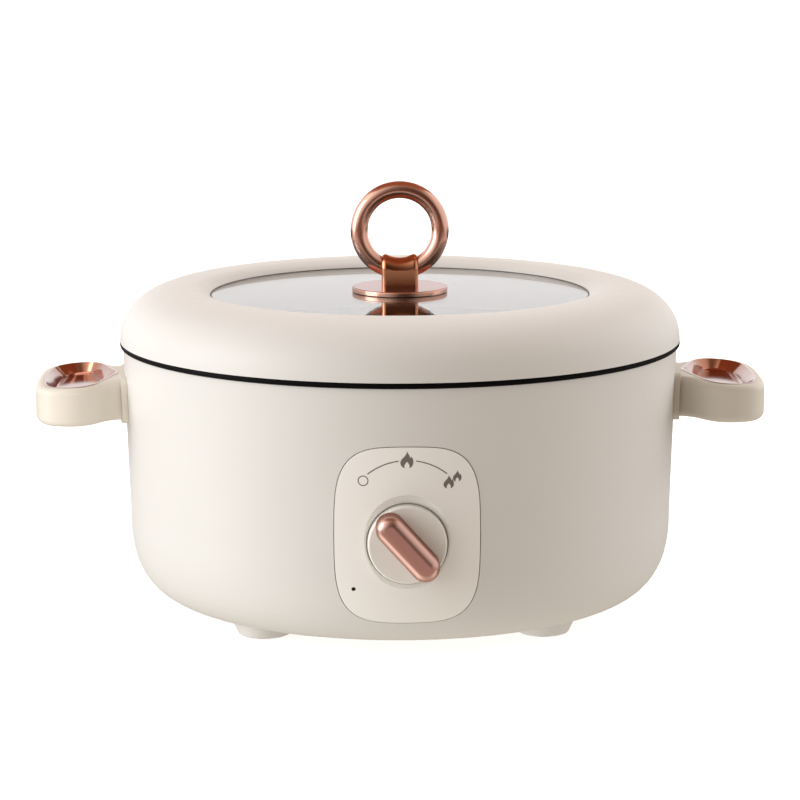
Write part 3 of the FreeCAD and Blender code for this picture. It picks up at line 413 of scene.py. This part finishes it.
ARC_C, ARC_R = (0.0, 0.0725), 0.0300
print_shape("mark_arc_left", [arc_band(ARC_C[0], ARC_C[1], ARC_R, math.radians(-39.5), math.radians(-8.0), 0.00055)])
print_shape("mark_arc_right", [arc_band(ARC_C[0], ARC_C[1], ARC_R, math.radians(8.0), math.radians(39.5), 0.00055)])


# =============================================================== floor, light, camera
def floor():
    n, rad = 96, 14.0
    verts, faces = [(0, 0, 0)], []
    for k, rr in enumerate((0.4, 1.2, 3.5, rad)):
        for i in range(n):
            a = 2 * math.pi * i / n
            verts.append((rr * math.cos(a), rr * math.sin(a), 0))
    for i in range(n):
        faces.append((0, 1 + i, 1 + (i + 1) % n))
    for k in range(3):
        for i in range(n):
            a, b = 1 + k * n + i, 1 + k * n + (i + 1) % n
            faces.append((a, a + n, b + n, b))
    me = bpy.data.meshes.new("floor")
    me.from_pydata(verts, [], faces)
    o = bpy.data.objects.new("floor", me)
    bpy.context.collection.objects.link(o)
    m = Mat("floor_pale")
    n1 = m.noise(3.0, 2.0, 0.5)
    m.set(Base_Color=m.ramp(n1, [(0.3, (0.68, 0.68, 0.68)), (0.7, (0.70, 0.70, 0.70))]))
    m.b.inputs["Roughness"].default_value = 0.9
    m.b.inputs["Specular IOR Level"].default_value = 0.0
    me.materials.append(m.m)
    o.visible_diffuse = False
    o.visible_glossy = False
    o.visible_shadow = False
    return o, m


floor_obj, floor_mat = floor()


def card(name, rows, z, tone):
    """A warm card seen only by shiny surfaces, as studios use it to give metal its bands; rows are (y, x0, x1)."""
    me = bpy.data.meshes.new(name)
    me.from_pydata([(x, y, z) for y, x0, x1 in rows for x in (x0, x1)], [], [(2 * i, 2 * i + 1, 2 * i + 3, 2 * i + 2) for i in range(len(rows) - 1)])
    o = bpy.data.objects.new(name, me)
    bpy.context.collection.objects.link(o)
    o.visible_camera = False
    o.visible_diffuse = False
    o.visible_shadow = False
    m = Mat(name + "_paper")
    n1 = m.noise(2.0, 2.0, 0.5)
    m.set(Base_Color=m.ramp(n1, [(0.3, tone), (0.7, [c * 1.05 for c in tone])]))
    m.b.inputs["Roughness"].default_value = 0.9
    m.b.inputs["Specular IOR Level"].default_value = 0.0
    me.materials.append(m.m)


card("card_near", [(-0.20, -1.1, 1.1), (-0.92, -1.5, 1.5)], 0.003, (0.44, 0.33, 0.31))
card("flag_far", [(-0.92, -1.5, 1.5), (-1.6, -2.2, 2.2), (-3.4, -3.0, 3.0)], 0.003, (0.13, 0.038, 0.020))
card("flag_over", [(-0.45, -0.60, 0.60), (2.60, -1.4, 1.4)], 1.15, (0.34, 0.120, 0.058))


def area(name, pos, aim, size, power, color=(1, 1, 1), spread=180):
    d = bpy.data.lights.new(name, "AREA")
    d.shape = "RECTANGLE"
    d.size, d.size_y = size
    d.energy = power
    d.color = color
    d.spread = math.radians(spread)
    o = bpy.data.objects.new(name, d)
    o.location = pos
    o.rotation_euler = (Vector(aim) - Vector(pos)).to_track_quat("-Z", "Y").to_euler()
    o.visible_camera = False
    bpy.context.collection.objects.link(o)
    return o


LIGHTS = {
    "key_left": ((-1.60, -0.45, 0.60), (0, 0, 0.10), (1.0, 1.2), 14.0, (0.97, 1.0, 1.05)),
    "fill_right": ((1.50, 0.35, 0.50), (0, 0, 0.10), (0.9, 1.2), 10.3, (1.0, 1.0, 1.0)),
    "top_back": ((0.20, 1.30, 1.20), (0, 0, 0.15), (1.0, 0.8), 2.2, (1.0, 1.0, 1.0)),
    "trim_fill": ((-0.30, 0.20, 1.05), (-0.17, 0, 0.11), (1.0, 1.0), 5.5, (1.0, 0.94, 0.90)),
    "handle_fill": ((0.25, -1.50, 0.45), (-0.16, 0, 0.11), (0.6, 0.6), 11.0, (1.0, 0.97, 0.94)),
}
ONLY = {"handle_fill": "handle_left", "trim_fill": "handle_trim_left"}
for name, (lp, aim, size, power, color) in LIGHTS.items():
    lamp = area(name, lp, aim, size, power, color)
    if name == "fill_right":
        lamp.visible_glossy = False
    if name in ONLY:
        only = bpy.data.collections.new(name + "_only")
        only.objects.link(NODES[ONLY[name]])
        lamp.light_linking.receiver_collection = only


def floor_light():
    """A lamp for the floor alone, from behind and above, so that the floor is an even white up to the object."""
    d = bpy.data.lights.new("floor_light", "SPOT")
    d.energy = 6300.0
    d.shadow_soft_size = 0.0
    d.use_shadow = False
    lp, aim = Vector((0.0, 6.4, 10.0)), Vector((0.0, 6.4, 0.0))
    d.spot_size = 2 * math.atan(6.95 / 10.0)
    d.spot_blend = 0.04
    o = bpy.data.objects.new("floor_light", d)
    o.location = lp
    o.rotation_euler = (aim - lp).to_track_quat("-Z", "Y").to_euler()
    bpy.context.collection.objects.link(o)
    only = bpy.data.collections.new("floor_only")
    only.objects.link(floor_obj)
    o.light_linking.receiver_collection = only
    return o


floor_light()

WORLD = {
    "w_front": (0.070, 0.035, 0.018),
    "w_back": (1.10, 1.10, 1.10),
    "w_left": (0.45, 0.46, 0.49),
    "w_left_wide": (1.11, 1.11, 1.06),
    "w_right": (0.95, 0.925, 0.88),
    "w_down": (0.65, 0.60, 0.52),
    "w_up": (0.31, 0.22, 0.17),
}


def world():
    w = bpy.data.worlds.new("studio")
    w.use_nodes = True
    t = w.node_tree
    t.nodes.clear()
    out = t.nodes.new("ShaderNodeOutputWorld")
    bg = t.nodes.new("ShaderNodeBackground")
    sep = t.nodes.new("ShaderNodeSeparateXYZ")
    t.links.new(t.nodes.new("ShaderNodeTexCoord").outputs["Generated"], sep.inputs[0])

    def step(sock, a, b):
        n = t.nodes.new("ShaderNodeMapRange")
        n.interpolation_type = "SMOOTHSTEP"
        n.inputs["From Min"].default_value = a
        n.inputs["From Max"].default_value = b
        t.links.new(sock, n.inputs["Value"])
        return n.outputs[0]

    def mul(a, b):
        n = t.nodes.new("ShaderNodeMath")
        n.operation = "MULTIPLY"
        t.links.new(a, n.inputs[0])
        t.links.new(b, n.inputs[1])
        return n.outputs[0]

    def inv(a):
        n = t.nodes.new("ShaderNodeMath")
        n.operation = "SUBTRACT"
        n.inputs[0].default_value = 1.0
        t.links.new(a, n.inputs[1])
        return n.outputs[0]

    back = step(sep.outputs[1], -0.30, 0.45)
    front = inv(back)
    over = step(sep.outputs[2], -0.15, -0.04)
    parts = {
        "w_front": None,
        "w_back": mul(back, over),
        "w_down": step(sep.outputs[2], -0.15, -0.80),
        "w_left": mul(step(sep.outputs[0], -0.35, -0.90), front),
        "w_left_wide": mul(step(sep.outputs[0], 0.10, -0.70), front),
        "w_right": mul(step(sep.outputs[0], 0.35, 0.90), front),
        "w_up": step(sep.outputs[2], 0.30, 0.90),
    }
    total = None
    for name, fac in parts.items():
        n = t.nodes.new("ShaderNodeVectorMath")
        n.operation = "MULTIPLY"
        n.name = name
        n.inputs[1].default_value = WORLD[name]
        if fac is None:
            n.inputs[0].default_value = (1, 1, 1)
        else:
            t.links.new(fac, n.inputs[0])
        if total is None:
            total = n.outputs[0]
        else:
            a = t.nodes.new("ShaderNodeVectorMath")
            a.operation = "ADD"
            t.links.new(total, a.inputs[0])
            t.links.new(n.outputs[0], a.inputs[1])
            total = a.outputs[0]
    t.links.new(total, bg.inputs["Color"])
    bg.inputs["Strength"].default_value = 1.0
    t.links.new(bg.outputs[0], out.inputs["Surface"])
    bpy.context.scene.world = w


world()

CAM_D, CAM_E, CAM_AZ, CAM_ROLL = 1.800, math.radians(9.0), math.radians(-1.4), math.radians(-0.116)
AIM = Vector((0, 0, 0.140))
cam_data = bpy.data.cameras.new("camera")
cam_data.lens = 157.0
cam_data.sensor_width = 36.0
cam_data.clip_start = 0.05
cam_data.clip_end = 60.0
cam = bpy.data.objects.new("camera", cam_data)
bpy.context.collection.objects.link(cam)
pos = AIM + Vector((math.sin(CAM_AZ) * math.cos(CAM_E), -math.cos(CAM_AZ) * math.cos(CAM_E), math.sin(CAM_E))) * CAM_D
look_e = CAM_E + math.atan(63.3 / 3489.0)
look = Vector((-math.sin(CAM_AZ) * math.cos(look_e), math.cos(CAM_AZ) * math.cos(look_e), -math.sin(look_e)))
cam.location = pos
cam.rotation_euler = (look.to_track_quat("-Z", "Y") @ Quaternion((0, 0, 1), CAM_ROLL)).to_euler()
sc = bpy.context.scene
sc.camera = cam
sc.view_settings.view_transform = "Standard"
sc.view_settings.look = "None"
sc.view_settings.exposure = 0.0
sc.view_settings.gamma = 1.0

bpy.context.view_layer.update()
